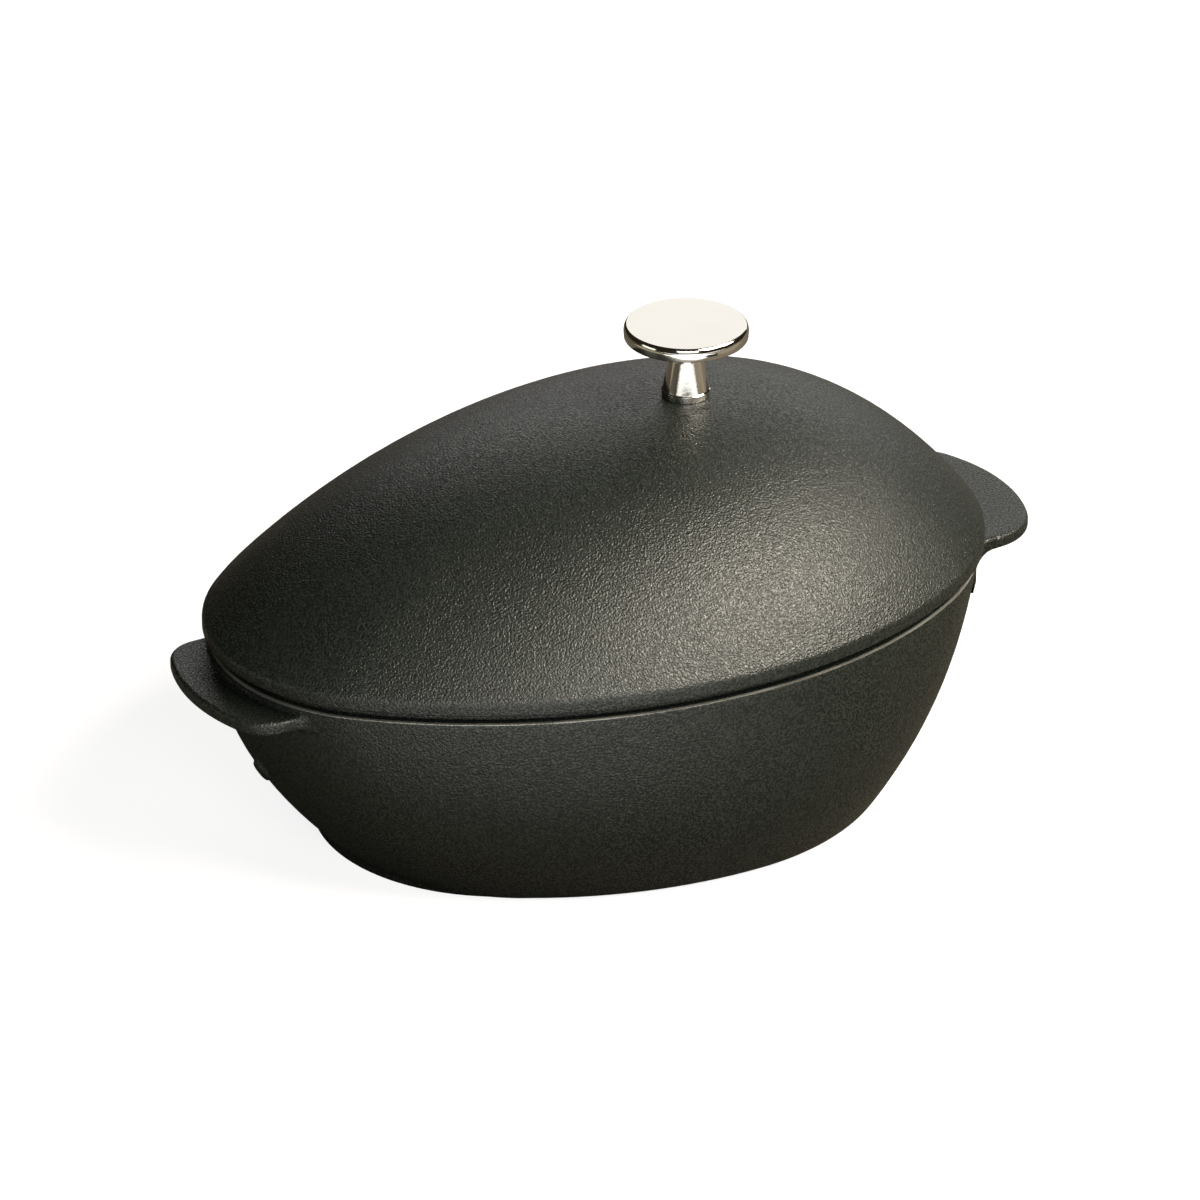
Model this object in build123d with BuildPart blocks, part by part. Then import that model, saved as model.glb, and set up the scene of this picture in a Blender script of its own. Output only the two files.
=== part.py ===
from build123d import *
from collections import namedtuple
from math import atan, atan2, cos, pi, sin
import os

# Mussel pot of enamelled cast iron: an egg-shaped pot with two tab handles, a domed lid
# with a turned knob, and a loose strainer. The origin lies on the table under the middle
# of the rim. X runs from the narrow end to the wide end, and Z points up.

# Plan of the rim, an egg that is widest a little towards its wide end
rim_length = 252.0
rim_width = 177.8
widest_at = 12.1
rim_narrow_share = 0.65         # end radius over half the width
rim_wide_share = 0.89
rim_height = 70.3

# Plan of the wall on the table. Each profile down to there is straight for a share of
# its inset, and bends with its power.
base_length = 180.5
base_width = 153.0
base_widest_at = 15.6
narrow_inset_share = 0.53       # of the length lost, at the narrow end
narrow_straight_share = 0.25
wide_straight_share = 0.4
narrow_power = 2.3
wide_power = 2.25
side_power = 3.55
base_narrow_share = 0.86
base_wide_share = 0.985
base_edge_radius = 6.0

# Casting
wall = 4.0
floor = 5.0
floor_corner_radius = 3.0
rim_edge_radius = 1.0

# Foot, which stands out under the narrow end
foot_proud = 3.5                # beyond the wall's narrow tip
foot_side_tuck = 1.6            # how far it hides inside the wall at the sides
foot_wide_tuck = 0.2            # and at the wide end
foot_narrow_share = 0.76
foot_edge = 2.2
foot_slope_height = 3.0
foot_slope_run = 5.0

# Tab handles
tab_drop = 2.7                  # top of the tabs below the rim
tab_thickness = 4.4
tab_edge_radius = 1.2
tab_root_radius = 1.5
narrow_tab_reach = 12.7         # tip beyond the rim
narrow_tab_width = 60.7
narrow_tab_tip_radius = 64.0
narrow_tab_corner_radius = 11.8
wide_tab_reach = 23.3
wide_tab_width = 68.6
wide_tab_tip_radius = 56.3
wide_tab_corner_radius = 18.9
tab_root = 24.0                 # how far a tab's block starts inside the rim

# Plain boss on the narrow end wall
boss_height = 37.0
boss_diameter = 9.0
boss_proud = 1.5
boss_sunk = 2.0                 # start of its block inside the wall
boss_edge_radius = 1.0

# Lid
lid_overhang = 1.85
seam_gap = 3.2                  # lid edge above the rim
seam_depth = 2.4                # how far inside the rim's outline the lid seats
edge_height = 5.0
dome_rise = 47.1
dome_power = 2.53
apex_at = 32.9                  # knob axis, towards the wide end
cap_share = 0.11                # flat top of the dome over its size at the edge
lid_wall = 4.0
shoulder_radius = 6.0
lid_edge_radius = 0.8
flange_depth = 5.0
flange_thickness = 2.6
flange_clearance = 0.6
hollow_rise = 10.5              # straight part of the hollow above the rim

# Knob
knob_height = 24.5
head_radius = 19.2
head_thickness = 5.0
head_top_radius = 18.3
head_under_radius = 18.8
head_under_rise = 0.8           # how far the head's underside rises outwards
head_crown = 0.6
neck_radius = 5.2
collar_radius = 7.6
collar_height = 2.5
collar_chamfer = 0.35
flare_height = 11.0
flare_fillet = 12.0
neck_fillet = 1.5

# Screw and spring washer
screw_radius = 3.0
thread_clearance = 0.05
hole_clearance = 0.4
thread_depth = 9.0
tip_clearance = 1.5
screw_head_radius = 6.0
screw_head_height = 3.4
screw_head_rounding = 1.5
screw_tip_chamfer = 0.6
slot_width = 1.4
slot_depth = 1.6
washer_thickness = 1.5
washer_radius = 5.4
washer_gap = 1.2
washer_split_angle = 25.0
split_cut_height = 6.0          # taller than the washer, so that the tilted cut goes through it

# Strainer
strainer_lift = 14.0            # underside above the floor
strainer_thickness = 1.0
strainer_rim = 6.0
strainer_clearance = 0.3
drain_diameter = 8.0
drain_pitch = 18.0
drain_margin = 7.0
drain_corner = 6.0              # corners of the field left free of holes round a slot
finger_length = 26.0
finger_width = 13.0
finger_from_end = 16.0

# An egg: its widest section, its reach from there to both tips, half its width and the
# radii of its two ends
Egg = namedtuple("Egg", "widest narrow wide half narrow_radius wide_radius")
quarter_steps = 9               # of the outline, evenly turned


def inset(egg, distance):
    """The same egg, parallel and inside by the distance."""
    return Egg(egg.widest, *(size - distance for size in egg[1:]))


def towards_apex(share):
    """The lid's outline drawn in towards the knob's axis."""
    widest = apex_at + share * (lid_egg.widest - apex_at)
    return Egg(widest, *(share * size for size in lid_egg[1:]))


def quarter(reach, half, end_radius):
    """Points on a side arc and the end arc it runs into, from the widest place to the tip."""
    if reach < half:
        flatter = quarter(half, reach, end_radius * reach / half)
        return [(x, y) for y, x in reversed(flatter)]
    side = ((reach - end_radius) ** 2 + half**2 - end_radius**2) / (2 * (half - end_radius))
    turn = atan2(reach - end_radius, side - half)
    points = []
    for step in range(quarter_steps + 1):
        angle = pi / 2 * step / quarter_steps
        if angle < turn:
            points.append((side * sin(angle), half - side + side * cos(angle)))
        else:
            points.append((reach - end_radius + end_radius * sin(angle), end_radius * cos(angle)))
    return points


def egg_face(egg):
    """The egg's six tangent arcs as one smooth closed curve, filled, in the current sketch."""
    wide = quarter(egg.wide, egg.half, egg.wide_radius)
    narrow = quarter(egg.narrow, egg.half, egg.narrow_radius)
    points = [(x, -y) for x, y in wide] + wide[-2::-1]
    points += [(-x, y) for x, y in narrow[1:]] + [(-x, -y) for x, y in narrow[-2:0:-1]]
    with BuildLine() as outline:
        Spline(*((egg.widest + x, y) for x, y in points), periodic=True)
    make_face(outline.edges())


def loft_eggs(eggs, heights, mode=Mode.ADD):
    """One smooth solid through the eggs."""
    sections = []
    for egg, height in zip(eggs, heights):
        with BuildSketch(Plane.XY.offset(height)) as section:
            egg_face(egg)
        sections.append(section.sketch)
    loft(sections, mode=mode)


def extrude_egg(egg, bottom, top, mode=Mode.ADD):
    """A straight block of the egg's outline between two heights."""
    with BuildSketch(Plane.XY.offset(bottom)) as section:
        egg_face(egg)
    extrude(section.sketch, amount=top - bottom, mode=mode)


def drawn_in(below, straight_share, power):
    """How much of its inset a wall has reached, from 0 at the rim to 1 on the table."""
    return straight_share * below + (1 - straight_share) * below**power


def wall_egg(height):
    """Outside of the pot's wall."""
    below = 1 - height / rim_height
    widest = widest_at + (base_widest_at - widest_at) * below
    narrow = rim_length / 2 + widest - narrow_inset * drawn_in(below, narrow_straight_share, narrow_power)
    wide = rim_length / 2 - widest - wide_inset * drawn_in(below, wide_straight_share, wide_power)
    half = rim_width / 2 - side_inset * below**side_power
    narrow_share = rim_narrow_share + (base_narrow_share - rim_narrow_share) * below
    wide_share = rim_wide_share + (base_wide_share - rim_wide_share) * below
    return Egg(widest, narrow, wide, half, half * narrow_share, half * wide_share)


def tip_at(height):
    """Where the narrow end's outside is on the X axis."""
    egg = wall_egg(height)
    return egg.widest - egg.narrow


def cavity_egg(height):
    """Inside of the pot's wall, which turns into the floor as the outside turns under."""
    outside_height = (height - floor) * rim_height / (rim_height - floor)
    return inset(wall_egg(outside_height), wall)


def dome_height(share):
    return lid_edge_top + dome_rise * (1 - share**dome_power)


def hollow_section(share):
    """Egg and height of the lid's inside, one wall thickness under the dome."""
    steepness = dome_rise * dome_power * share ** (dome_power - 1)
    mean_reach = (lid_egg.narrow + lid_egg.wide + 2 * lid_egg.half) / 4
    lean = atan(steepness / mean_reach)
    egg = inset(towards_apex(share), lid_wall * sin(lean))
    return egg, dome_height(share) - lid_wall * cos(lean)


# How far the wall draws in from the rim to the table
narrow_inset = narrow_inset_share * (rim_length - base_length)
wide_inset = rim_length - base_length - narrow_inset
side_inset = (rim_width - base_width) / 2

# Places that several pieces share
tolerance = 0.01                # for picking edges by their height
rim_egg = wall_egg(rim_height)
lid_egg = inset(rim_egg, -lid_overhang)
lid_edge_bottom = rim_height + seam_gap
lid_edge_top = lid_edge_bottom + edge_height
knob_seat = dome_height(cap_share)
lid_inside_top = hollow_section(cap_share)[1]
flange_bottom = rim_height - flange_depth
flange_egg = inset(cavity_egg(flange_bottom), flange_clearance)
hollow_egg = inset(flange_egg, flange_thickness)
strainer_bottom = floor + strainer_lift
screw_tip = knob_seat + thread_depth
boss_foot = tip_at(boss_height - boss_diameter / 2)
boss_top = tip_at(boss_height + boss_diameter / 2)
boss_slope = (boss_foot - boss_top) / boss_diameter
boss_plane = Plane((tip_at(boss_height), 0, boss_height), x_dir=(0, 1, 0), z_dir=(-1, 0, -boss_slope))
knob_plane = Plane((apex_at, 0, knob_seat), x_dir=(1, 0, 0), z_dir=(0, -1, 0))
knob_axis = Axis((apex_at, 0, knob_seat), (0, 0, 1))
wall_steps = 8
wall_rise = [step / wall_steps for step in range(wall_steps + 1)]
dome_steps = 10
dome_shares = [1 - (1 - cap_share) * step / dome_steps for step in range(dome_steps + 1)]


def tab_block(towards, reach, width, tip_radius, corner_radius):
    """A flat tab handle with a curved tip, from inside the wall outwards."""
    tip = towards * (rim_length / 2 + reach)
    root = towards * (rim_length / 2 - tab_root)
    corner = tip - towards * (tip_radius - (tip_radius**2 - (width / 2) ** 2) ** 0.5)
    with BuildPart() as block:
        with BuildSketch(Plane.XY.offset(rim_height - tab_drop - tab_thickness)) as plan:
            with BuildLine():
                Polyline((corner, width / 2), (root, width / 2), (root, -width / 2), (corner, -width / 2))
                ThreePointArc((corner, -width / 2), (tip, 0), (corner, width / 2))
            make_face()
            outer_corners = plan.vertices().group_by(Axis.X)[0 if towards < 0 else -1]
            fillet(outer_corners, corner_radius)
        extrude(amount=tab_thickness)
        inner_end = block.edges().group_by(Axis.X)[-1 if towards < 0 else 0]
        flat_faces = block.faces().filter_by(Axis.Z)
        fillet(flat_faces.edges() - inner_end, tab_edge_radius)
    return block.part


narrow_tab = tab_block(
    -1, narrow_tab_reach, narrow_tab_width, narrow_tab_tip_radius, narrow_tab_corner_radius
)
wide_tab = tab_block(1, wide_tab_reach, wide_tab_width, wide_tab_tip_radius, wide_tab_corner_radius)

with BuildPart() as pot_body:
    # Wall
    heights = [rim_height * rise for rise in wall_rise]
    loft_eggs([wall_egg(height) for height in heights], heights)
    fillet(pot_body.edges().group_by(Axis.Z)[0], base_edge_radius)
    # Foot
    base_egg = wall_egg(0)
    foot_egg = Egg(
        base_widest_at,
        base_egg.narrow + foot_proud,
        base_egg.wide - foot_wide_tuck,
        base_egg.half - foot_side_tuck,
        base_egg.half * foot_narrow_share,
        base_egg.wide_radius - foot_side_tuck,
    )
    extrude_egg(foot_egg, 0, foot_edge)
    loft_eggs([foot_egg, inset(foot_egg, foot_slope_run)], [foot_edge, foot_edge + foot_slope_height])
    # Handles, blended into the wall
    add(narrow_tab)
    add(wide_tab)
    tab_heights = (rim_height - tab_drop - tab_thickness, rim_height - tab_drop)
    roots = pot_body.edges().filter_by(GeomType.BSPLINE).filter_by_position(Axis.Z, *tab_heights)
    fillet(roots, tab_root_radius)
    # Plain boss on the end wall
    with BuildSketch(boss_plane.offset(-boss_sunk)):
        Circle(boss_diameter / 2)
    extrude(amount=boss_sunk + boss_proud)
    boss_rim = pot_body.edges(Select.LAST).sort_by(Axis(boss_plane.origin, boss_plane.z_dir))[-1]
    fillet(boss_rim, boss_edge_radius)
    # Cavity
    heights = [floor + (rim_height - floor) * rise for rise in wall_rise]
    loft_eggs([cavity_egg(height) for height in heights], heights, mode=Mode.SUBTRACT)
    fillet(pot_body.edges().filter_by_position(Axis.Z, floor - tolerance, floor + tolerance), floor_corner_radius)
    fillet(pot_body.faces().sort_by(Axis.Z)[-1].edges(), rim_edge_radius)
pot_body.part.label = "pot_body"

with BuildPart() as lid:
    # Edge and dome
    extrude_egg(lid_egg, lid_edge_bottom, lid_edge_top)
    loft_eggs([towards_apex(share) for share in dome_shares], [dome_height(share) for share in dome_shares])
    shoulder = lid.edges().filter_by_position(Axis.Z, lid_edge_top - tolerance, lid_edge_top + tolerance)
    fillet(shoulder, shoulder_radius)
    fillet(lid.edges().group_by(Axis.Z)[0], lid_edge_radius)
    # Stepped seat and locating flange
    extrude_egg(inset(rim_egg, seam_depth), rim_height, lid_edge_bottom)
    extrude_egg(flange_egg, flange_bottom, rim_height)
    # Hollow
    extrude_egg(hollow_egg, flange_bottom, rim_height + hollow_rise, mode=Mode.SUBTRACT)
    hollow = [(hollow_egg, rim_height + hollow_rise)]
    hollow += [hollow_section(share) for share in dome_shares[1:]]
    loft_eggs(*zip(*hollow), mode=Mode.SUBTRACT)
    # Screw hole
    with Locations((apex_at, 0, knob_seat)):
        Hole(screw_radius + hole_clearance, depth=2 * lid_wall)

with BuildPart() as knob:
    with BuildSketch(knob_plane) as profile:
        with BuildLine():
            collar_top = (collar_radius - collar_chamfer, collar_height)
            neck_bottom = (neck_radius, collar_height + flare_height)
            neck_top = (neck_radius, knob_height - head_thickness - head_under_rise)
            head_under = (head_under_radius, knob_height - head_thickness)
            head_side = (head_radius, knob_height - head_thickness / 2)
            head_top = (head_top_radius, knob_height - head_crown)
            Polyline((0, 0), (collar_radius, 0), (collar_radius, collar_height - collar_chamfer), collar_top)
            Polyline(collar_top, neck_bottom, neck_top, head_under)
            ThreePointArc(head_under, head_side, head_top)
            TangentArc((0, knob_height), head_top, tangent=(1, 0))
            Line((0, knob_height), (0, 0))
        make_face()
        fillet(profile.vertices().sort_by_distance(Vertex(*neck_top, 0))[0], neck_fillet)
        fillet(profile.vertices().sort_by_distance(Vertex(*neck_bottom, 0))[0], flare_fillet)
    revolve(axis=knob_axis)
    with Locations(Plane(knob_axis.position, z_dir=(0, 0, -1))):
        Hole(screw_radius, depth=thread_depth + tip_clearance)

with BuildPart() as lock_washer:
    with BuildSketch(Plane((apex_at, 0, lid_inside_top - washer_thickness))):
        Circle(washer_radius)
        Circle(screw_radius + hole_clearance / 2, mode=Mode.SUBTRACT)
    extrude(amount=washer_thickness)
    with Locations(Location((apex_at + washer_radius, 0, lid_inside_top), (washer_split_angle, 0, 0))):
        Box(2 * washer_radius, washer_gap, split_cut_height, mode=Mode.SUBTRACT)

with BuildPart() as knob_screw:
    head_top_at = lid_inside_top - washer_thickness
    with BuildSketch(Plane((apex_at, 0, head_top_at - screw_head_height))):
        Circle(screw_head_radius)
    extrude(amount=screw_head_height)
    fillet(knob_screw.edges().group_by(Axis.Z)[0], screw_head_rounding)
    with BuildSketch(Plane((apex_at, 0, head_top_at))):
        Circle(screw_radius - thread_clearance)
    extrude(amount=screw_tip - head_top_at)
    chamfer(knob_screw.edges().group_by(Axis.Z)[-1], screw_tip_chamfer)
    with Locations((apex_at, 0, head_top_at - screw_head_height + slot_depth / 2)):
        Box(2 * screw_head_radius, slot_width, slot_depth, mode=Mode.SUBTRACT)

with BuildPart() as strainer:
    # Tray with a raised rim that follows the pot's wall
    strainer_top = strainer_bottom + strainer_rim
    bottom_egg = inset(cavity_egg(strainer_bottom), strainer_clearance)
    top_egg = inset(cavity_egg(strainer_top), strainer_clearance)
    plate_top = strainer_bottom + strainer_thickness
    loft_eggs([bottom_egg, top_egg], [strainer_bottom, strainer_top])
    inner_bottom = inset(cavity_egg(plate_top), strainer_clearance + strainer_thickness)
    inner_top = inset(top_egg, strainer_thickness)
    loft_eggs([inner_bottom, inner_top], [plate_top, strainer_top], mode=Mode.SUBTRACT)
    # Drain holes and the two slots for fingers
    with BuildSketch(Plane.XY.offset(strainer_bottom)) as openings:
        slots_at = [
            (bottom_egg.widest - bottom_egg.narrow + finger_from_end, 0),
            (bottom_egg.widest + bottom_egg.wide - finger_from_end, 0),
        ]
        with Locations(*slots_at):
            SlotOverall(finger_length, finger_width, rotation=90)
        with BuildSketch(mode=Mode.PRIVATE) as field:
            egg_face(inset(bottom_egg, drain_margin + drain_diameter / 2))
            with Locations(*slots_at):
                keep_out = finger_width + 2 * drain_margin + drain_diameter
                keep_out_length = finger_length + drain_margin + drain_diameter
                RectangleRounded(keep_out, keep_out_length, drain_corner, mode=Mode.SUBTRACT)
        rows = int(rim_length / drain_pitch)
        with HexLocations(drain_pitch / 2, rows, rows) as grid:
            spots = [spot.position for spot in grid.locations]
        with Locations(*(spot for spot in spots if field.face().is_inside(spot))):
            Circle(drain_diameter / 2)
    extrude(openings.sketch, amount=strainer_thickness, mode=Mode.SUBTRACT)

pieces = {
    "pot_body": pot_body,
    "lid": lid,
    "knob": knob,
    "lock_washer": lock_washer,
    "knob_screw": knob_screw,
    "strainer": strainer,
}
os.makedirs("parts", exist_ok=True)
for name, piece in pieces.items():
    piece.part.label = name
    export_step(piece.part, f"parts/{name}.step")
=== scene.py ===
from collections import namedtuple
from math import atan2, cos, pi, radians, sin, sqrt

import bmesh
import bpy
from mathutils import Matrix, Vector


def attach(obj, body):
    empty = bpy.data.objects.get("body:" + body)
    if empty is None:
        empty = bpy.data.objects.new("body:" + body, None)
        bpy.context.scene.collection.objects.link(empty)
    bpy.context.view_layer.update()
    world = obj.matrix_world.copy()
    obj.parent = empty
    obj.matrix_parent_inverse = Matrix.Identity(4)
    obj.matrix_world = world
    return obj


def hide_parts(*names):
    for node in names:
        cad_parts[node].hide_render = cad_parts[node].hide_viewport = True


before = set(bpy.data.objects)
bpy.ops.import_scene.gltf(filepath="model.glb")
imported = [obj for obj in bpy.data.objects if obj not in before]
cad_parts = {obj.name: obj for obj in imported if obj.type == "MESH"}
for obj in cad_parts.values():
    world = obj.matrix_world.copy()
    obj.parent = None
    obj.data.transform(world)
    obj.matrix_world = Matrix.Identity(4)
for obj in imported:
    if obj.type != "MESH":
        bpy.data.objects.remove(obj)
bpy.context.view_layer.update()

# Camera, fitted to the outlines in the photograph. Sizes are metres.
LOOK_POINT = Vector((0.00452, 0.00348, 0.060))
CAMERA_DISTANCE = 2.329
CAMERA_ELEVATION = 27.46        # degrees above the table
CAMERA_TURN = 30.05             # degrees from -Y towards -X
IMAGE_SIZE = 1200
PIXELS_PER_METRE = 3234.0       # at the look point
SENSOR = 36.0

# Sizes of the castings, repeated from the CAD model in millimetres
MM = 0.001
RIM_LENGTH, RIM_WIDTH, RIM_HEIGHT = 252.0, 177.8, 70.3
WIDEST_AT, BASE_WIDEST_AT = 12.1, 15.6
RIM_NARROW_SHARE, RIM_WIDE_SHARE = 0.65, 0.89
BASE_LENGTH, BASE_WIDTH = 180.5, 153.0
BASE_NARROW_SHARE, BASE_WIDE_SHARE = 0.86, 0.985
NARROW_INSET = 0.53 * (RIM_LENGTH - BASE_LENGTH)
WIDE_INSET = RIM_LENGTH - BASE_LENGTH - NARROW_INSET
NARROW_STRAIGHT, WIDE_STRAIGHT = 0.25, 0.4
NARROW_POWER, WIDE_POWER, SIDE_POWER = 2.3, 2.25, 3.55
BASE_EDGE_RADIUS = 6.0
WALL, FLOOR, FLOOR_CORNER_RADIUS, RIM_EDGE_RADIUS = 4.0, 5.0, 3.0, 1.0
FOOT_PROUD, FOOT_SIDE_TUCK, FOOT_WIDE_TUCK, FOOT_NARROW_SHARE = 3.5, 1.6, 0.2, 0.76
FOOT_EDGE, FOOT_BLEND_HEIGHT, FOOT_SUNK = 2.2, 10.0, 1.5
FOOT_HOLLOW_SHARE = 0.45        # how far up its blend the foot's curve turns
FOOT_HOLLOW_INSET, FOOT_TOP_INSET = 0.4, 0.15
FOOT_UNDER_RADIUS, FOOT_EDGE_RADIUS = 0.5, 0.8
BOSS_HEIGHT, BOSS_RADIUS, BOSS_PROUD = 35.0, 3.9, 1.6
LID_OVERHANG, SEAM_GAP, SEAM_DEPTH, EDGE_HEIGHT = 1.85, 3.2, 2.4, 5.0
DOME_RISE, DOME_POWER, APEX_AT, CAP_SHARE = 47.1, 2.53, 32.9, 0.11
LID_WALL, SHOULDER_RADIUS, LID_EDGE_RADIUS, SEAT_RADIUS = 4.0, 3.0, 0.8, 0.3
SHOULDER_DIP, SHOULDER_DIP_POWER = 0.8, 16    # how much lower the shoulder is than the plain dome
DOME_LAST_SHARE, HOLLOW_LAST_SHARE = 0.975, 0.9
FLANGE_DEPTH, FLANGE_THICKNESS, FLANGE_CLEARANCE, HOLLOW_RISE = 5.0, 2.6, 0.6, 10.5
FLANGE_EDGE_RADIUS, SCREW_HOLE_RADIUS = 0.6, 3.4

# Handles. The flare is how far one spreads at the wall, on each side. The wide one's flare, and
# the rounding under it, are wider than in the CAD model, as the photograph shows.
TAB_DROP, TAB_THICKNESS, TAB_EDGE_RADIUS, TAB_ROOT_RADIUS = 2.7, 4.4, 1.2, 1.5
TAB_SUNK, TAB_SUNK_SPREAD = 2.0, 1.3          # how far it goes into the wall, and flares there
TAB_NEAR_MARGIN, TAB_NEAR_SHARE = 0.5, 0.7    # where its surface counts as near the wall
NARROW_TAB = dict(reach=12.7, width=60.7, tip_radius=64.0, corner_radius=11.8, flare=3.0)
WIDE_TAB = dict(reach=23.3, width=68.6, tip_radius=56.3, corner_radius=18.9, flare=7.0)
WIDE_TAB_UNDER_RADIUS = 8.0

# Strainer. Its drain holes are cut here, because the CAD model's solid has none.
STRAINER_CLEARANCE, FINGER_FROM_END = 0.3, 16.0
DRAIN_DIAMETER, DRAIN_PITCH, DRAIN_MARGIN = 8.0, 18.0, 7.0
DRAIN_ROWS, DRAIN_COLUMNS = 6, 8              # at most, each way from the middle
SLOT_CLEAR_WIDTH, SLOT_CLEAR_LENGTH = 35.0, 41.0
DRILL_LENGTH = 6.0

# Ring on the rim's edge, worn enamel whose pale tone also paints the edge's highlight line: its
# bevel runs inwards and down
RIM_RING_DEPTH, RIM_RING_HEIGHT, RIM_RING_PROUD, RIM_RING_DROP = 1.2, 0.38, 0.06, 0.1
RIM_RING_BEVEL = (0.3, 0.15)

# Boss: shares of its radius and of its height, from inside the wall to its top
BOSS_PROFILE = (
    (1.5, -1.0), (1.25, -0.2), (1.08, 0.12), (0.97, 0.45), (0.86, 0.8), (0.7, 0.95), (0.4, 1.0),
)

# Sizes of the knob
KNOB_HEIGHT, HEAD_RADIUS, HEAD_THICKNESS, HEAD_CROWN = 24.5, 19.2, 5.0, 0.6
HEAD_TOP_RADIUS, HEAD_UNDER_RADIUS, HEAD_UNDER_RISE = 18.3, 19.05, 0.8
HEAD_SIDE_HEIGHT, HEAD_SHOULDER_TURN = 2.2, 0.8
NECK_RADIUS, COLLAR_RADIUS, COLLAR_HEIGHT, COLLAR_CHAMFER = 5.2, 7.6, 2.5, 0.35
FLARE_HEIGHT, FLARE_FILLET, NECK_FILLET = 11.0, 12.0, 1.5
KNOB_FOOT_RADIUS, COLLAR_EDGE_RADIUS, HEAD_EDGE_RADIUS, HEAD_RIM_RADIUS = 0.3, 0.12, 0.45, 0.25
THREAD_RADIUS, THREAD_DEPTH = 3.0, 10.5

# Fineness of the meshes
QUARTER_STEPS = 44              # along each quarter of an egg, evenly turned
CORNER_STEPS = 7                # round a corner
ROUND_STEPS = 96                # round the knob
BOSS_STEPS, DRAIN_STEPS = 36, 32
WALL_STEPS, CAVITY_STEPS, DOME_STEPS, FOOT_STEPS = 18, 12, 22, 10
TAB_ARC_STEPS, TAB_FLARE_STEPS = 16, 8        # along a handle's outline
TAB_NEAR_STEPS, TAB_FAR_STEPS, TAB_EDGE_STEPS = 10, 5, 5    # across it, from the wall to its edge
HEAD_SHOULDER_STEPS, HEAD_CROWN_STEPS = 12, 9
FLAT_SHARE = 0.6                # size of the ring that a flat face is split at
WELD = 0.002                    # points closer than this become one
SHARP_ANGLE, KNOB_SHARP_ANGLE, TRAY_SHARP_ANGLE = 40, 25, 12    # degrees

# Floor, as light sees it and as the camera sees it
FLOOR_TONE, SHADOW_SHARE, FLOOR_GLOW = (0.11, 0.10, 0.085), 0.34, 0.84
FLOOR_SIZE = 8                  # metres

# Grain, wear, the painted rim highlight and colours: noise scales per metre, depths in metres
GRAIN_SCALE, PEBBLE_SCALE, PATCH_SCALE, SPECK_SCALE = 1600, 420, 24, 1450
GRAIN_DEPTH, PEBBLE_DEPTH = 0.00032, 0.0006
ENAMEL_DARK, ENAMEL_PALE = (0.0, 0.0015, 0.0007), (0.0165, 0.0208, 0.0175)
WEAR_SCALE, WORN_GRAIN_SCALE, WORN_GRAIN_DEPTH = 60, 1250, 0.0002
# Tones of the rim ring: pale for wear and as a painted highlight line along the rim's edge
WORN_HIGHLIGHT_DARK, WORN_HIGHLIGHT_PALE = (0.22, 0.22, 0.20), (0.34, 0.34, 0.31)
SMUDGE_SCALE, SMUDGED_TONE = 90, 0.94


Egg = namedtuple("Egg", "widest narrow wide half narrow_radius wide_radius")


def make_camera():
    elevation, turn = radians(CAMERA_ELEVATION), radians(CAMERA_TURN)
    forward = Vector((cos(elevation) * sin(turn), cos(elevation) * cos(turn), -sin(elevation)))
    data = bpy.data.cameras.new("camera")
    data.sensor_width = SENSOR
    data.lens = SENSOR * PIXELS_PER_METRE * CAMERA_DISTANCE / IMAGE_SIZE
    data.clip_start, data.clip_end = 0.1, 20
    camera = bpy.data.objects.new("camera", data)
    bpy.context.collection.objects.link(camera)
    camera.location = LOOK_POINT - forward * CAMERA_DISTANCE
    camera.rotation_euler = forward.to_track_quat("-Z", "Y").to_euler()
    bpy.context.scene.camera = camera


def inset(egg, distance):
    """The same egg, parallel and inside by the distance."""
    return Egg(egg.widest, *(size - distance for size in egg[1:]))


def quarter(reach, half, end_radius):
    """Points on a side arc and the end arc it runs into, from the widest place to the tip."""
    side = ((reach - end_radius) ** 2 + half**2 - end_radius**2) / (2 * (half - end_radius))
    turn = atan2(reach - end_radius, side - half)
    points = []
    for step in range(QUARTER_STEPS + 1):
        angle = pi / 2 * step / QUARTER_STEPS
        if angle < turn:
            points.append((side * sin(angle), half - side + side * cos(angle)))
        else:
            points.append((reach - end_radius + end_radius * sin(angle), end_radius * cos(angle)))
    return points


def ring(egg, height):
    """Points round an egg, counterclockwise from its widest place on the -Y side."""
    wide = quarter(egg.wide, egg.half, egg.wide_radius)
    narrow = quarter(egg.narrow, egg.half, egg.narrow_radius)
    points = [(x, -y) for x, y in wide] + wide[-2::-1]
    points += [(-x, y) for x, y in narrow[1:]] + [(-x, -y) for x, y in narrow[-2:0:-1]]
    return [Vector((egg.widest + x, y, height)) for x, y in points]


def drawn_in(below, straight, power):
    """How much of its inset a wall has reached, from 0 at the rim to 1 on the table."""
    return straight * below + (1 - straight) * below**power


def wall_egg(height):
    """Outside of the pot's wall."""
    below = 1 - height / RIM_HEIGHT
    widest = WIDEST_AT + (BASE_WIDEST_AT - WIDEST_AT) * below
    narrow = RIM_LENGTH / 2 + widest - NARROW_INSET * drawn_in(below, NARROW_STRAIGHT, NARROW_POWER)
    wide = RIM_LENGTH / 2 - widest - WIDE_INSET * drawn_in(below, WIDE_STRAIGHT, WIDE_POWER)
    half = RIM_WIDTH / 2 - (RIM_WIDTH - BASE_WIDTH) / 2 * below**SIDE_POWER
    narrow_share = RIM_NARROW_SHARE + (BASE_NARROW_SHARE - RIM_NARROW_SHARE) * below
    wide_share = RIM_WIDE_SHARE + (BASE_WIDE_SHARE - RIM_WIDE_SHARE) * below
    return Egg(widest, narrow, wide, half, half * narrow_share, half * wide_share)


def cavity_egg(height):
    """Inside of the pot's wall."""
    return inset(wall_egg((height - FLOOR) * RIM_HEIGHT / (RIM_HEIGHT - FLOOR)), WALL)


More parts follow.
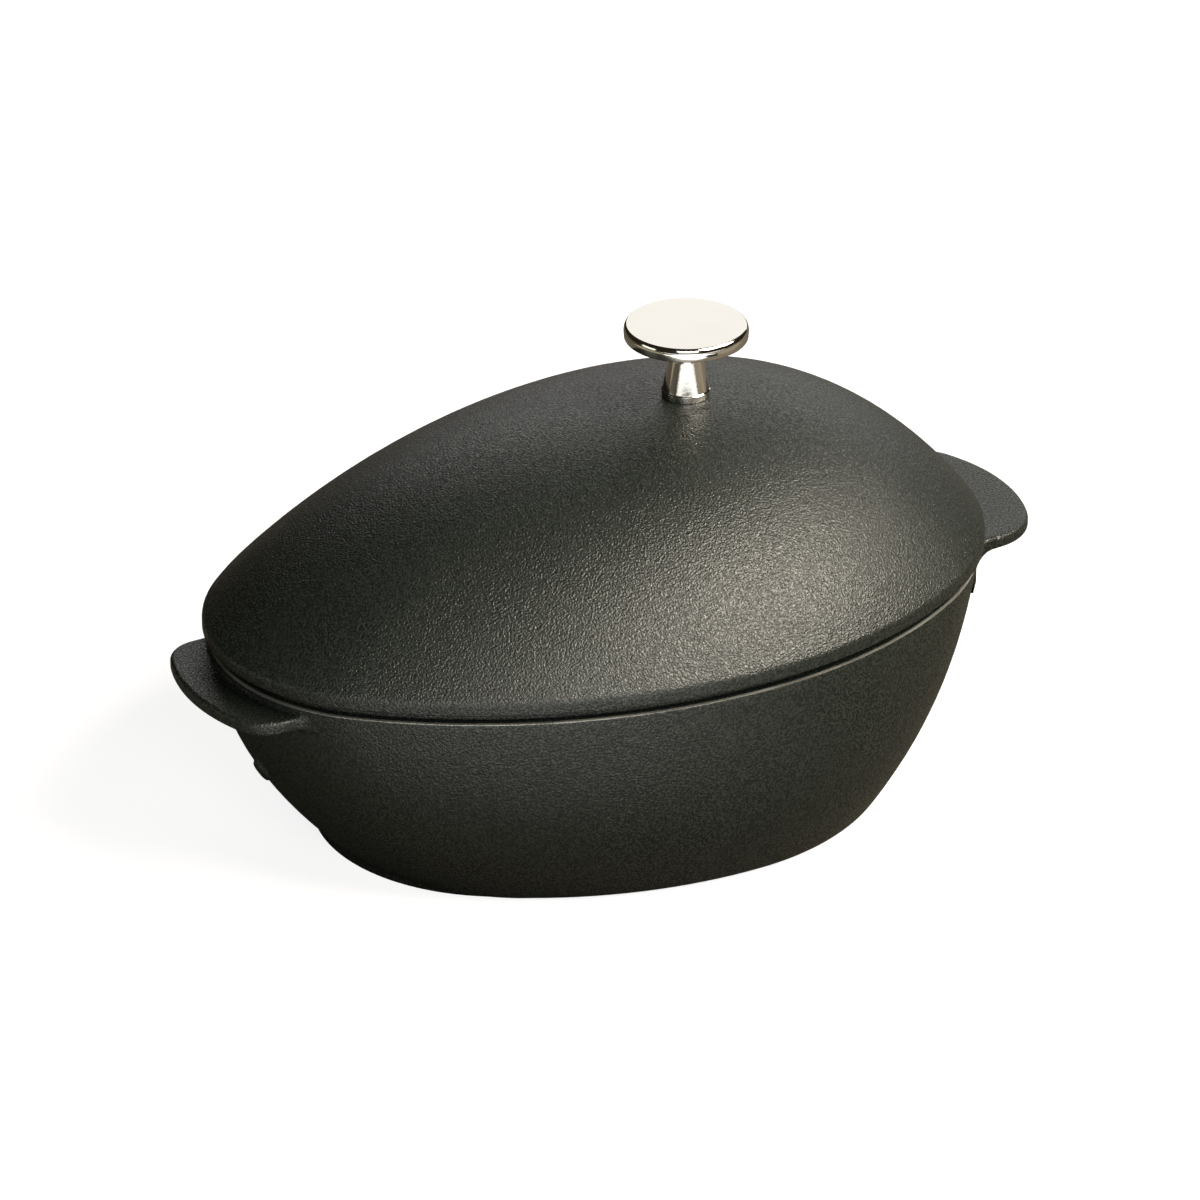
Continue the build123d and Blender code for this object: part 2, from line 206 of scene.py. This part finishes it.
def curve(start, middle, end, s):
    """A point on the parabola from start to end, turning at middle."""
    return (1 - s) ** 2 * start + 2 * s * (1 - s) * middle + s**2 * end


def rounded(before, corner, after, radius):
    """Rings of a rounding of the radius in place of a sharp corner ring."""
    rows = [[] for _ in range(CORNER_STEPS + 1)]
    for back, middle, ahead in zip(before, corner, after):
        to_back, to_ahead = (back - middle).normalized(), (ahead - middle).normalized()
        turn = pi - to_back.angle(to_ahead)
        run = radius * sin(turn / 2) / cos(turn / 2)
        start, end, weight = middle + to_back * run, middle + to_ahead * run, cos(turn / 2)
        for step, row in enumerate(rows):
            s = step / CORNER_STEPS
            parts = ((1 - s) ** 2, 2 * weight * s * (1 - s), s**2)
            row.append((parts[0] * start + parts[1] * middle + parts[2] * end) / sum(parts))
    return rows


def with_corners(sections):
    """Rings of a profile given as (ring, corner radius) pairs."""
    rows = []
    for index, (points, radius) in enumerate(sections):
        if radius:
            rows += rounded(sections[index - 1][0], points, sections[index + 1][0], radius)
        else:
            rows.append(points)
    return rows


class Skin:
    """Points and faces of one mesh, gathered in millimetres."""

    def __init__(self):
        self.points, self.faces = [], []

    def grid(self, rows, wrap=True):
        start, width = len(self.points), len(rows[0])
        for row in rows:
            self.points.extend(row)
        for first in range(start, start + width * (len(rows) - 1), width):
            for column in range(width if wrap else width - 1):
                a, b = first + column, first + (column + 1) % width
                self.faces.append((a, b, b + width, a + width))
        return start

    def cap(self, row):
        """A disc of triangles that closes a ring."""
        start, width = len(self.points), len(row)
        self.points.extend(row)
        self.points.append(sum(row, Vector()) / width)
        self.faces += [(start + k, start + (k + 1) % width, start + width) for k in range(width)]

    def piece(self, name, body, node, slot, material, sharp_angle=SHARP_ANGLE):
        """The finished object on its body, standing for a CAD node if one is named."""
        mesh = bpy.data.meshes.new(name)
        mesh.from_pydata([point * MM for point in self.points], [], self.faces)
        work = bmesh.new()
        work.from_mesh(mesh)
        bmesh.ops.remove_doubles(work, verts=work.verts, dist=WELD * MM)
        bmesh.ops.recalc_face_normals(work, faces=work.faces)
        work.to_mesh(mesh)
        work.free()
        mesh.shade_smooth()
        mesh.set_sharp_from_angle(angle=radians(sharp_angle))
        mesh.materials.append(material)
        piece = bpy.data.objects.new(name, mesh)
        bpy.context.collection.objects.link(piece)
        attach(piece, body)
        if node:
            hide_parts(node)
        return piece


def scaled_ring(points, share):
    """A flat ring drawn in towards its middle."""
    middle = sum(points, Vector()) / len(points)
    return [middle + share * (point - middle) for point in points]


# Pot

def end_at(egg, towards, y):
    """Where an egg's end arc is along X, at the given Y."""
    reach, radius = (egg.narrow, egg.narrow_radius) if towards < 0 else (egg.wide, egg.wide_radius)
    return egg.widest + towards * (reach - radius + sqrt(radius**2 - y**2))


def wall_distance(egg, towards, point):
    """How far a point is outside an egg's end arc."""
    reach, radius = (egg.narrow, egg.narrow_radius) if towards < 0 else (egg.wide, egg.wide_radius)
    middle = Vector((egg.widest + towards * (reach - radius), 0, 0))
    return (point - middle).length - radius


def tab_outline(towards, reach, width, tip_radius, corner_radius, flare):
    """Plan of a handle's edge, from inside the wall on the -Y side round its tip and back in."""
    wall = wall_egg(RIM_HEIGHT - TAB_DROP - TAB_THICKNESS / 2)
    tip, half, steps = RIM_LENGTH / 2 + reach, width / 2, TAB_ARC_STEPS
    corner_y = half - corner_radius
    corner_x = tip - tip_radius + sqrt((tip_radius - corner_radius) ** 2 - corner_y**2)
    turn = atan2(corner_y, corner_x - tip + tip_radius)
    points = []
    for step in range(steps + 1):
        angle = turn * step / steps
        points.append((tip - tip_radius + tip_radius * cos(angle), tip_radius * sin(angle)))
    for step in range(1, steps + 1):
        angle = turn + (pi / 2 - turn) * step / steps
        x, y = corner_radius * cos(angle), corner_radius * sin(angle)
        points.append((corner_x + x, corner_y + y))
    root_x = towards * end_at(wall, towards, half)
    flare_x = towards * end_at(wall, towards, half + flare)
    start_x = min(root_x + flare, corner_x)
    for step in range(TAB_FLARE_STEPS + 1):
        s = step / TAB_FLARE_STEPS
        points.append((curve(start_x, root_x, flare_x, s), half + s**2 * flare))
    inside_y = half + flare * TAB_SUNK_SPREAD
    points += [(flare_x - TAB_SUNK / 2, inside_y), (flare_x - TAB_SUNK, inside_y)]
    points = [(x, -y) for x, y in points[:0:-1]] + points
    return [Vector((towards * x, y, 0)) for x, y in points]


def add_tab(skin, towards, sizes, under_radius):
    """A flat cast handle with a round edge, blended into the wall above and below."""
    outline = tab_outline(towards, **sizes)
    top = RIM_HEIGHT - TAB_DROP
    lengths = [0]
    for before, after in zip(outline, outline[1:]):
        lengths.append(lengths[-1] + (after - before).length)
    spread = sizes["width"] / 2 + sizes["flare"]

    def lifted(point, egg, level, up, radius):
        """The point at its level, raised into the rounding where it is near the wall."""
        short = min(max(radius - wall_distance(egg, towards, point), 0), radius)
        rise = radius - sqrt(radius**2 - short**2)
        return point + Vector((0, 0, level + up * rise))

    upper, lower = [], []
    sides = ((upper, top, 1, TAB_ROOT_RADIUS), (lower, top - TAB_THICKNESS, -1, under_radius))
    for index, edge in enumerate(outline):
        along = outline[min(index + 1, len(outline) - 1)] - outline[max(index - 1, 0)]
        inwards = Vector((-along.y, along.x, 0)).normalized() * towards
        inner = edge + inwards * TAB_EDGE_RADIUS
        for rows, level, up, radius in sides:
            egg = wall_egg(level)
            y = spread * (2 * lengths[index] / lengths[-1] - 1)
            root = Vector((end_at(egg, towards, y) - towards * TAB_SUNK, y, 0))
            run = (inner - root).length
            near = min(TAB_SUNK + radius + TAB_NEAR_MARGIN, run * TAB_NEAR_SHARE)
            places = [near * step / TAB_NEAR_STEPS for step in range(TAB_NEAR_STEPS)]
            places += [
                near + (run - near) * step / TAB_FAR_STEPS for step in range(TAB_FAR_STEPS + 1)
            ]
            spots = [root.lerp(inner, place / run) for place in places]
            column = [lifted(spot, egg, level, up, radius) for spot in spots]
            for step in range(1, TAB_EDGE_STEPS + 1):
                angle = pi / 2 * step / TAB_EDGE_STEPS
                spot = inner - inwards * TAB_EDGE_RADIUS * sin(angle)
                fall = Vector((0, 0, up * TAB_EDGE_RADIUS * (1 - cos(angle))))
                column.append(lifted(spot, egg, level, up, radius) - fall)
            rows.append(column)
    skin.grid([above + below[::-1] for above, below in zip(upper, lower)], wrap=False)


def add_foot(skin):
    """The foot, which grows out of the wall in a hollow curve."""
    base_egg = wall_egg(0)
    foot_egg = Egg(
        BASE_WIDEST_AT,
        base_egg.narrow + FOOT_PROUD,
        base_egg.wide - FOOT_WIDE_TUCK,
        base_egg.half - FOOT_SIDE_TUCK,
        base_egg.half * FOOT_NARROW_SHARE,
        base_egg.wide_radius - FOOT_SIDE_TUCK,
    )
    bottom, edge = ring(foot_egg, 0), ring(foot_egg, FOOT_EDGE)
    hollow_height = FOOT_BLEND_HEIGHT * FOOT_HOLLOW_SHARE
    middle = ring(inset(wall_egg(hollow_height), FOOT_HOLLOW_INSET), hollow_height)
    end = ring(inset(wall_egg(FOOT_BLEND_HEIGHT), FOOT_TOP_INSET), FOOT_BLEND_HEIGHT)
    inside = ring(inset(wall_egg(FOOT_BLEND_HEIGHT), FOOT_SUNK), FOOT_BLEND_HEIGHT + 1)
    sections = [(scaled_ring(bottom, FLAT_SHARE), 0)]
    sections += [(bottom, FOOT_UNDER_RADIUS), (edge, FOOT_EDGE_RADIUS)]
    for step in range(1, FOOT_STEPS + 1):
        s = step / FOOT_STEPS
        sections.append(([curve(a, b, c, s) for a, b, c in zip(edge, middle, end)], 0))
    skin.cap(sections[0][0])
    skin.grid(with_corners(sections + [(inside, 0)]))


def add_boss(skin):
    """The small plain boss on the narrow end wall, a soft round bump."""
    def tip_at(height):
        egg = wall_egg(height)
        return egg.widest - egg.narrow

    lower, upper = tip_at(BOSS_HEIGHT - BOSS_RADIUS), tip_at(BOSS_HEIGHT + BOSS_RADIUS)
    slope = (lower - upper) / (2 * BOSS_RADIUS)
    out = Vector((-1, 0, -slope)).normalized()
    across = Vector((0, 1, 0))
    up = out.cross(across)
    middle = Vector((tip_at(BOSS_HEIGHT), 0, BOSS_HEIGHT))
    angles = [2 * pi * step / BOSS_STEPS for step in range(BOSS_STEPS)]
    rows = []
    for share, rise in BOSS_PROFILE:
        level = middle + out * BOSS_PROUD * rise
        rows.append([level + BOSS_RADIUS * share * (across * cos(a) + up * sin(a)) for a in angles])
    skin.grid(rows)
    skin.cap(rows[-1])


def build_pot():
    skin = Skin()
    heights = [RIM_HEIGHT * step / WALL_STEPS for step in range(1, WALL_STEPS)]
    depth, down = RIM_HEIGHT - FLOOR, range(CAVITY_STEPS - 1, 0, -1)
    cavity_heights = [FLOOR + depth * step / CAVITY_STEPS for step in down]
    base = ring(wall_egg(0), 0)
    floor_edge = ring(cavity_egg(FLOOR), FLOOR)
    sections = [(scaled_ring(base, FLAT_SHARE), 0), (base, BASE_EDGE_RADIUS)]
    sections += [(ring(wall_egg(height), height), 0) for height in heights]
    sections.append((ring(wall_egg(RIM_HEIGHT), RIM_HEIGHT), RIM_EDGE_RADIUS))
    sections.append((ring(cavity_egg(RIM_HEIGHT), RIM_HEIGHT), RIM_EDGE_RADIUS))
    sections += [(ring(cavity_egg(height), height), 0) for height in cavity_heights]
    sections += [(floor_edge, FLOOR_CORNER_RADIUS), (scaled_ring(floor_edge, FLAT_SHARE), 0)]
    skin.cap(sections[0][0])
    skin.grid(with_corners(sections))
    skin.cap(sections[-1][0])
    add_foot(skin)
    add_tab(skin, -1, NARROW_TAB, TAB_ROOT_RADIUS)
    add_tab(skin, 1, WIDE_TAB, WIDE_TAB_UNDER_RADIUS)
    add_boss(skin)
    return skin


def build_rim_edge():
    """The worn, paler edge of the rim, a thin ring that shows under the lid; its pale tone is also
    a painted highlight along the rim's edge.
    """
    level = RIM_HEIGHT - RIM_RING_DROP
    bottom, top = level - RIM_RING_HEIGHT, level + RIM_RING_PROUD
    outer = wall_egg(RIM_HEIGHT - RIM_EDGE_RADIUS / 2)
    inner, proud = inset(outer, RIM_RING_DEPTH), inset(outer, -RIM_RING_PROUD)
    bevel_in, bevel_down = RIM_RING_BEVEL
    skin = Skin()
    skin.grid([
        ring(inner, bottom),
        ring(proud, bottom),
        ring(proud, level - bevel_down),
        ring(inset(outer, bevel_in), top),
        ring(inner, top),
        ring(inner, bottom),
    ])
    return skin


# Lid

def dome_height(share):
    return RIM_HEIGHT + SEAM_GAP + EDGE_HEIGHT + DOME_RISE * (1 - share**DOME_POWER)


def build_lid():
    skin = Skin()
    rim_egg = wall_egg(RIM_HEIGHT)
    lid_egg = inset(rim_egg, -LID_OVERHANG)
    edge_bottom = RIM_HEIGHT + SEAM_GAP
    edge_top = edge_bottom + EDGE_HEIGHT
    flange_bottom = RIM_HEIGHT - FLANGE_DEPTH
    flange_egg = inset(cavity_egg(flange_bottom), FLANGE_CLEARANCE)
    hollow_egg = inset(flange_egg, FLANGE_THICKNESS)
    apex = Vector((APEX_AT, 0, 0))
    edge = ring(lid_egg, 0)

    def dome_ring(share):
        height = dome_height(share) - SHOULDER_DIP * share**SHOULDER_DIP_POWER
        return [apex + share * (point - apex) + Vector((0, 0, height)) for point in edge]

    def hollow_ring(share):
        """One wall thickness under the dome."""
        rows = []
        steepness = DOME_RISE * DOME_POWER * share ** (DOME_POWER - 1)
        for point in dome_ring(share):
            outwards = Vector((point.x - APEX_AT, point.y, 0))
            lean = steepness / (outwards.length / share)
            down = Vector((*(-lean * outwards.normalized()).xy, -1)).normalized()
            rows.append(point + LID_WALL * down)
        return rows

    spread = DOME_LAST_SHARE - CAP_SHARE
    shares = [CAP_SHARE + spread * step / DOME_STEPS for step in range(DOME_STEPS, -1, -1)]
    turns = [atan2(point.y, point.x - APEX_AT) for point in edge]
    hole = [
        Vector((APEX_AT + SCREW_HOLE_RADIUS * cos(a), SCREW_HOLE_RADIUS * sin(a), 0)) for a in turns
    ]
    lift = Vector((0, 0, 1))
    hollow_top = hollow_ring(CAP_SHARE)
    sections = [
        (ring(inset(rim_egg, SEAM_DEPTH), RIM_HEIGHT), SEAT_RADIUS),
        (ring(inset(rim_egg, SEAM_DEPTH), edge_bottom), 0),
        (ring(lid_egg, edge_bottom), LID_EDGE_RADIUS),
        (ring(lid_egg, edge_top - SHOULDER_DIP), SHOULDER_RADIUS),
    ]
    sections += [(dome_ring(share), 0) for share in shares]
    sections += [([point + dome_height(CAP_SHARE) * lift for point in hole], 0)]
    sections += [([point + hollow_top[0].z * lift for point in hole], 0)]
    sections += [(hollow_ring(share), 0) for share in shares[::-1] if share < HOLLOW_LAST_SHARE]
    sections += [
        (ring(hollow_egg, RIM_HEIGHT + HOLLOW_RISE), 0),
        (ring(hollow_egg, flange_bottom), FLANGE_EDGE_RADIUS),
        (ring(flange_egg, flange_bottom), FLANGE_EDGE_RADIUS),
        (ring(flange_egg, RIM_HEIGHT), 0),
    ]
    skin.grid(with_corners(sections[-1:] + sections))
    return skin


# Knob

def build_knob():
    """The turned knob, from the bottom of its threaded hole round its outside to its crown."""
    seat = dome_height(CAP_SHARE)
    neck_foot = COLLAR_HEIGHT + FLARE_HEIGHT
    under, top = KNOB_HEIGHT - HEAD_THICKNESS, KNOB_HEIGHT - HEAD_CROWN

    def circle(radius, height):
        angles = [2 * pi * step / ROUND_STEPS for step in range(ROUND_STEPS)]
        return [Vector((APEX_AT + radius * cos(a), radius * sin(a), seat + height)) for a in angles]

    profile = [
        (THREAD_RADIUS, THREAD_DEPTH, 0),
        (THREAD_RADIUS, 0, KNOB_FOOT_RADIUS),
        (COLLAR_RADIUS, 0, KNOB_FOOT_RADIUS),
        (COLLAR_RADIUS, COLLAR_HEIGHT - COLLAR_CHAMFER, COLLAR_EDGE_RADIUS),
        (COLLAR_RADIUS - COLLAR_CHAMFER, COLLAR_HEIGHT, COLLAR_EDGE_RADIUS),
        (NECK_RADIUS, neck_foot, FLARE_FILLET),
        (NECK_RADIUS, under - HEAD_UNDER_RISE, NECK_FILLET),
        (HEAD_UNDER_RADIUS, under, HEAD_EDGE_RADIUS),
    ]
    shoulder, whole = under + HEAD_SIDE_HEIGHT, pi / 2 * HEAD_SHOULDER_TURN
    for step in range(HEAD_SHOULDER_STEPS + 1):
        angle = whole * step / HEAD_SHOULDER_STEPS
        height = shoulder + (top - shoulder) * sin(angle) / sin(whole)
        radius = HEAD_RADIUS - (HEAD_RADIUS - HEAD_TOP_RADIUS) * (1 - cos(angle)) / (1 - cos(whole))
        profile.append((radius, height, HEAD_RIM_RADIUS if step == HEAD_SHOULDER_STEPS else 0))
    for step in range(1, HEAD_CROWN_STEPS):
        share = 1 - step / HEAD_CROWN_STEPS
        profile.append((HEAD_TOP_RADIUS * share, KNOB_HEIGHT - HEAD_CROWN * share**2, 0))
    skin = Skin()
    sections = [(circle(radius, height), rounding) for radius, height, rounding in profile]
    skin.cap(sections[0][0])
    skin.grid(with_corners(sections))
    skin.cap(sections[-1][0])
    return skin


# Strainer

def within(points, spot):
    """Whether a spot lies inside a convex ring that runs anticlockwise."""
    sides = zip(points, points[1:] + points[:1])
    return all((b - a).to_2d().cross((spot - a).to_2d()) > 0 for a, b in sides)


def drain_spots(egg):
    """A staggered field of drain holes that keeps clear of the edge and of the two finger slots."""
    field = ring(inset(egg, DRAIN_MARGIN + DRAIN_DIAMETER / 2), 0)
    slots = (egg.widest - egg.narrow + FINGER_FROM_END, egg.widest + egg.wide - FINGER_FROM_END)
    spots, row_pitch = [], DRAIN_PITCH * sin(pi / 3)
    for row in range(-DRAIN_ROWS, DRAIN_ROWS + 1):
        for column in range(-DRAIN_COLUMNS, DRAIN_COLUMNS + 1):
            spot = Vector((DRAIN_PITCH * (column + row % 2 / 2), row_pitch * row, 0))
            along, across = min(abs(spot.x - x) for x in slots), abs(spot.y)
            by_slot = along < SLOT_CLEAR_WIDTH / 2 and across < SLOT_CLEAR_LENGTH / 2
            if within(field, spot) and not by_slot:
                spots.append(spot)
    return spots


def drill(solid, name, body, node, material):
    """A copy of the plain tray with its drain holes cut through the plate."""
    tray = bpy.data.objects.new(name, solid.data.copy())
    tray.matrix_world = solid.matrix_world.copy()
    bpy.context.collection.objects.link(tray)
    bottom = min((solid.matrix_world @ vertex.co).z for vertex in solid.data.vertices)
    egg = inset(cavity_egg(bottom / MM), STRAINER_CLEARANCE)
    work, radius = bmesh.new(), DRAIN_DIAMETER / 2 * MM
    for spot in drain_spots(egg):
        place = Matrix.Translation(spot * MM + Vector((0, 0, bottom)))
        bmesh.ops.create_cone(work, cap_ends=True, segments=DRAIN_STEPS, radius1=radius,
                              radius2=radius, depth=DRILL_LENGTH * MM, matrix=place)
    pins = bpy.data.objects.new("pins", bpy.data.meshes.new("pins"))
    work.to_mesh(pins.data)
    work.free()
    bpy.context.collection.objects.link(pins)
    cut = tray.modifiers.new("holes", "BOOLEAN")
    cut.operation, cut.solver, cut.object = "DIFFERENCE", "EXACT", pins
    bpy.context.view_layer.update()
    cut_tray = tray.evaluated_get(bpy.context.evaluated_depsgraph_get())
    drilled = bpy.data.meshes.new_from_object(cut_tray)
    tray.modifiers.clear()
    tray.data = drilled
    bpy.data.objects.remove(pins)
    drilled.materials.clear()
    drilled.materials.append(material)
    drilled.shade_smooth()
    drilled.set_sharp_from_angle(angle=radians(TRAY_SHARP_ANGLE))
    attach(tray, body)
    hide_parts(node)


# Materials

def new_material(name):
    """A material with its node tree's nodes, links and Principled shader."""
    material = bpy.data.materials.new(name)
    material.use_nodes = True
    tree = material.node_tree
    return material, tree, tree.nodes["Principled BSDF"]


def noise(tree, coordinates, scale, detail=2.0, roughness=0.5):
    node = tree.nodes.new("ShaderNodeTexNoise")
    node.inputs["Scale"].default_value = scale
    node.inputs["Detail"].default_value = detail
    node.inputs["Roughness"].default_value = roughness
    tree.links.new(coordinates, node.inputs["Vector"])
    return node.outputs["Fac"]


def remap(tree, value, from_low, from_high, to_low, to_high):
    node = tree.nodes.new("ShaderNodeMapRange")
    node.inputs["From Min"].default_value = from_low
    node.inputs["From Max"].default_value = from_high
    node.inputs["To Min"].default_value = to_low
    node.inputs["To Max"].default_value = to_high
    tree.links.new(value, node.inputs["Value"])
    return node.outputs["Result"]


def mix_colours(tree, factor, low, high):
    node = tree.nodes.new("ShaderNodeMix")
    node.data_type = "RGBA"
    node.inputs["A"].default_value = (*low, 1)
    node.inputs["B"].default_value = (*high, 1)
    tree.links.new(factor, node.inputs["Factor"])
    return node.outputs["Result"]


def bump(tree, height, distance, strength, under=None):
    node = tree.nodes.new("ShaderNodeBump")
    node.inputs["Distance"].default_value = distance
    node.inputs["Strength"].default_value = strength
    tree.links.new(height, node.inputs["Height"])
    if under:
        tree.links.new(under, node.inputs["Normal"])
    return node.outputs["Normal"]


def make_enamel():
    """Matte black enamel over sand-cast iron: a fine pebbled grain and faint pale specks."""
    material, tree, shader = new_material("enamel")
    spot = tree.nodes.new("ShaderNodeTexCoord").outputs["Object"]
    grain = noise(tree, spot, GRAIN_SCALE, 1.0)
    pebble = noise(tree, spot, PEBBLE_SCALE, 3.0, 0.55)
    patches = noise(tree, spot, PATCH_SCALE, 3.0)
    specks = noise(tree, spot, SPECK_SCALE, 0.0)
    pale = remap(tree, specks, 0.42, 0.6, 0, 1)
    colour = mix_colours(tree, pale, ENAMEL_DARK, ENAMEL_PALE)
    tree.links.new(colour, shader.inputs["Base Color"])
    glints = tree.nodes.new("ShaderNodeMath")
    glints.operation = "ADD"
    tree.links.new(remap(tree, patches, 0.3, 0.7, 0.0, 0.05), glints.inputs[0])
    tree.links.new(remap(tree, specks, 0.36, 0.64, 0.46, 0.25), glints.inputs[1])
    tree.links.new(glints.outputs["Value"], shader.inputs["Roughness"])
    shader.inputs["Specular IOR Level"].default_value = 0.5
    pebbled = bump(tree, pebble, PEBBLE_DEPTH, 0.08)
    tree.links.new(bump(tree, grain, GRAIN_DEPTH, 1.0, pebbled), shader.inputs["Normal"])
    return material


def make_worn_highlight():
    """Enamel worn thin and pale along the rim's edge, its pale tone also a painted highlight line
    along that edge.
    """
    material, tree, shader = new_material("worn_highlight_enamel")
    spot = tree.nodes.new("ShaderNodeTexCoord").outputs["Object"]
    wear = noise(tree, spot, WEAR_SCALE, 3.0)
    # Pale tone, partly wear and partly a painted highlight along the rim's edge
    colour = mix_colours(tree, remap(tree, wear, 0.3, 0.6, 0, 1), WORN_HIGHLIGHT_DARK, WORN_HIGHLIGHT_PALE)
    tree.links.new(colour, shader.inputs["Base Color"])
    tree.links.new(remap(tree, wear, 0.3, 0.7, 0.2, 0.34), shader.inputs["Roughness"])
    shader.inputs["Metallic"].default_value = 0.7
    grain = noise(tree, spot, WORN_GRAIN_SCALE)
    tree.links.new(bump(tree, grain, WORN_GRAIN_DEPTH, 0.5), shader.inputs["Normal"])
    return material


def make_metal(name, colour, roughness, scratch_scale, scratch_depth):
    """Plated or satin metal with faint turning marks and uneven polish."""
    material, tree, shader = new_material(name)
    spot = tree.nodes.new("ShaderNodeTexCoord").outputs["Object"]
    shader.inputs["Metallic"].default_value = 1.0
    smudge = noise(tree, spot, SMUDGE_SCALE, 3.0)
    tone = mix_colours(tree, smudge, colour, tuple(SMUDGED_TONE * part for part in colour))
    tree.links.new(tone, shader.inputs["Base Color"])
    dulled = remap(tree, smudge, 0.3, 0.7, roughness * 0.85, roughness * 1.2)
    tree.links.new(dulled, shader.inputs["Roughness"])
    marks = noise(tree, spot, scratch_scale, 2.0)
    tree.links.new(bump(tree, marks, scratch_depth, 0.3), shader.inputs["Normal"])
    return material


def make_floor():
    """Pale table: plain matte white for light, and near white with a soft shadow for the camera."""
    material, tree, shader = new_material("floor")
    shader.inputs["Base Color"].default_value = (*FLOOR_TONE, 1)
    shader.inputs["Roughness"].default_value = 1.0
    shader.inputs["Specular IOR Level"].default_value = 0.0
    shown = tree.nodes.new("ShaderNodeBsdfDiffuse")
    shown.inputs["Color"].default_value = (SHADOW_SHARE, SHADOW_SHARE, SHADOW_SHARE, 1)
    glow = tree.nodes.new("ShaderNodeEmission")
    glow.inputs["Strength"].default_value = FLOOR_GLOW
    both = tree.nodes.new("ShaderNodeAddShader")
    tree.links.new(shown.outputs["BSDF"], both.inputs[0])
    tree.links.new(glow.outputs["Emission"], both.inputs[1])
    path = tree.nodes.new("ShaderNodeLightPath")
    mix = tree.nodes.new("ShaderNodeMixShader")
    tree.links.new(path.outputs["Is Camera Ray"], mix.inputs[0])
    tree.links.new(shader.outputs["BSDF"], mix.inputs[1])
    tree.links.new(both.outputs["Shader"], mix.inputs[2])
    tree.links.new(mix.outputs["Shader"], tree.nodes["Material Output"].inputs["Surface"])
    return material


# Pieces
enamel = make_enamel()
worn_highlight = make_worn_highlight()
nickel = make_metal("nickel", (0.82, 0.80, 0.75), 0.09, 900, 0.00002)
steel = make_metal("steel", (0.60, 0.60, 0.59), 0.28, 1500, 0.00005)
build_pot().piece("pot", "pot", "pot_body", "enamel", enamel)
# Pale ring over the rim's edge: wear, and a painted highlight line
build_rim_edge().piece("rim_edge", "pot", None, "enamel", worn_highlight)
build_lid().piece("cover", "lid", "lid", "enamel", enamel)
build_knob().piece("turned_knob", "lid", "knob", "nickel", nickel, KNOB_SHARP_ANGLE)
drill(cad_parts["strainer"], "drained_tray", "strainer", "strainer", steel)
for name, material in (("knob_screw", steel), ("lock_washer", steel)):
    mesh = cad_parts[name].data
    mesh.materials.clear()
    mesh.materials.append(material)

# Floor
bpy.ops.mesh.primitive_plane_add(size=FLOOR_SIZE)
floor = bpy.context.object
floor.name = "floor"
floor.data.materials.append(make_floor())


def floor_sheet(name, azimuth, start, width, length, colour, glow, height):
    """A sheet on the floor for the knob and the wall to reflect, hidden from the camera itself."""
    bpy.ops.mesh.primitive_plane_add(size=1)
    sheet = bpy.context.object
    sheet.name = name
    sheet.scale = (width, length, 1)
    turn = radians(azimuth)
    away = Vector((sin(turn), -cos(turn), 0))
    sheet.location = away * (start + length / 2) + Vector((0, 0, height))
    sheet.rotation_euler = (0, 0, turn)
    sheet.visible_camera = False
    sheet.visible_shadow = False
    material, tree, shader = new_material(name)
    shader.inputs["Base Color"].default_value = (0, 0, 0, 1)
    shader.inputs["Roughness"].default_value = 1.0
    shader.inputs["Specular IOR Level"].default_value = 0.0
    shader.inputs["Emission Color"].default_value = (*colour, 1)
    shader.inputs["Emission Strength"].default_value = glow
    sheet.data.materials.append(material)


floor_sheet("front_sheet", -20, 0.22, 0.56, 1.3, (1.0, 0.98, 0.93), 2.9, 0.0007)
floor_sheet("far_sheet", -18, 0.95, 3.6, 1.5, (1.0, 1.0, 0.97), 1.5, 0.0006)
floor_sheet("right_sheet", 50, 0.29, 0.5, 0.5, (1.0, 0.86, 0.62), 0.36, 0.0005)
floor_sheet("left_sheet", -100, 0.29, 0.5, 0.5, (1.0, 0.86, 0.62), 0.38, 0.0005)
floor_sheet("dark_card", 22, 0.27, 0.12, 0.1, (0.3, 1.0, 1.0), 0.02, 0.0009)

# Light
world = bpy.data.worlds.new("studio")
bpy.context.scene.world = world
world.use_nodes = True
background = world.node_tree.nodes["Background"]
background.inputs["Color"].default_value = (1.0, 0.72, 0.5, 1)
background.inputs["Strength"].default_value = 0.02


def softbox(name, azimuth, elevation, distance, width, height, power, colour):
    """A soft light aimed at the pot, at an azimuth from -Y towards +X."""
    data = bpy.data.lights.new(name, "AREA")
    data.shape = "RECTANGLE"
    data.size, data.size_y = width, height
    data.energy = power
    data.color = colour
    light = bpy.data.objects.new(name, data)
    bpy.context.collection.objects.link(light)
    a, e = radians(azimuth), radians(elevation)
    direction = Vector((sin(a) * cos(e), -cos(a) * cos(e), sin(e)))
    light.location = LOOK_POINT + direction * distance
    light.rotation_euler = (-direction).to_track_quat("-Z", "Y").to_euler()


softbox("key", 31, 46, 1.4, 0.9, 0.7, 29, (1.0, 0.915, 0.78))
softbox("key_side", 57, 40, 1.4, 0.5, 0.65, 15, (1.0, 0.91, 0.77))
softbox("back_panel", 138, 23, 1.4, 1.5, 1.0, 5.4, (1.0, 0.98, 0.96))
softbox("front_low", -26, 27, 1.5, 0.9, 0.5, 10, (1.0, 0.98, 0.92))
softbox("left_low", -100, 8, 1.4, 0.7, 0.4, 1.2, (0.95, 1.0, 0.85))
make_camera()
bpy.context.scene.view_settings.view_transform = "Standard"
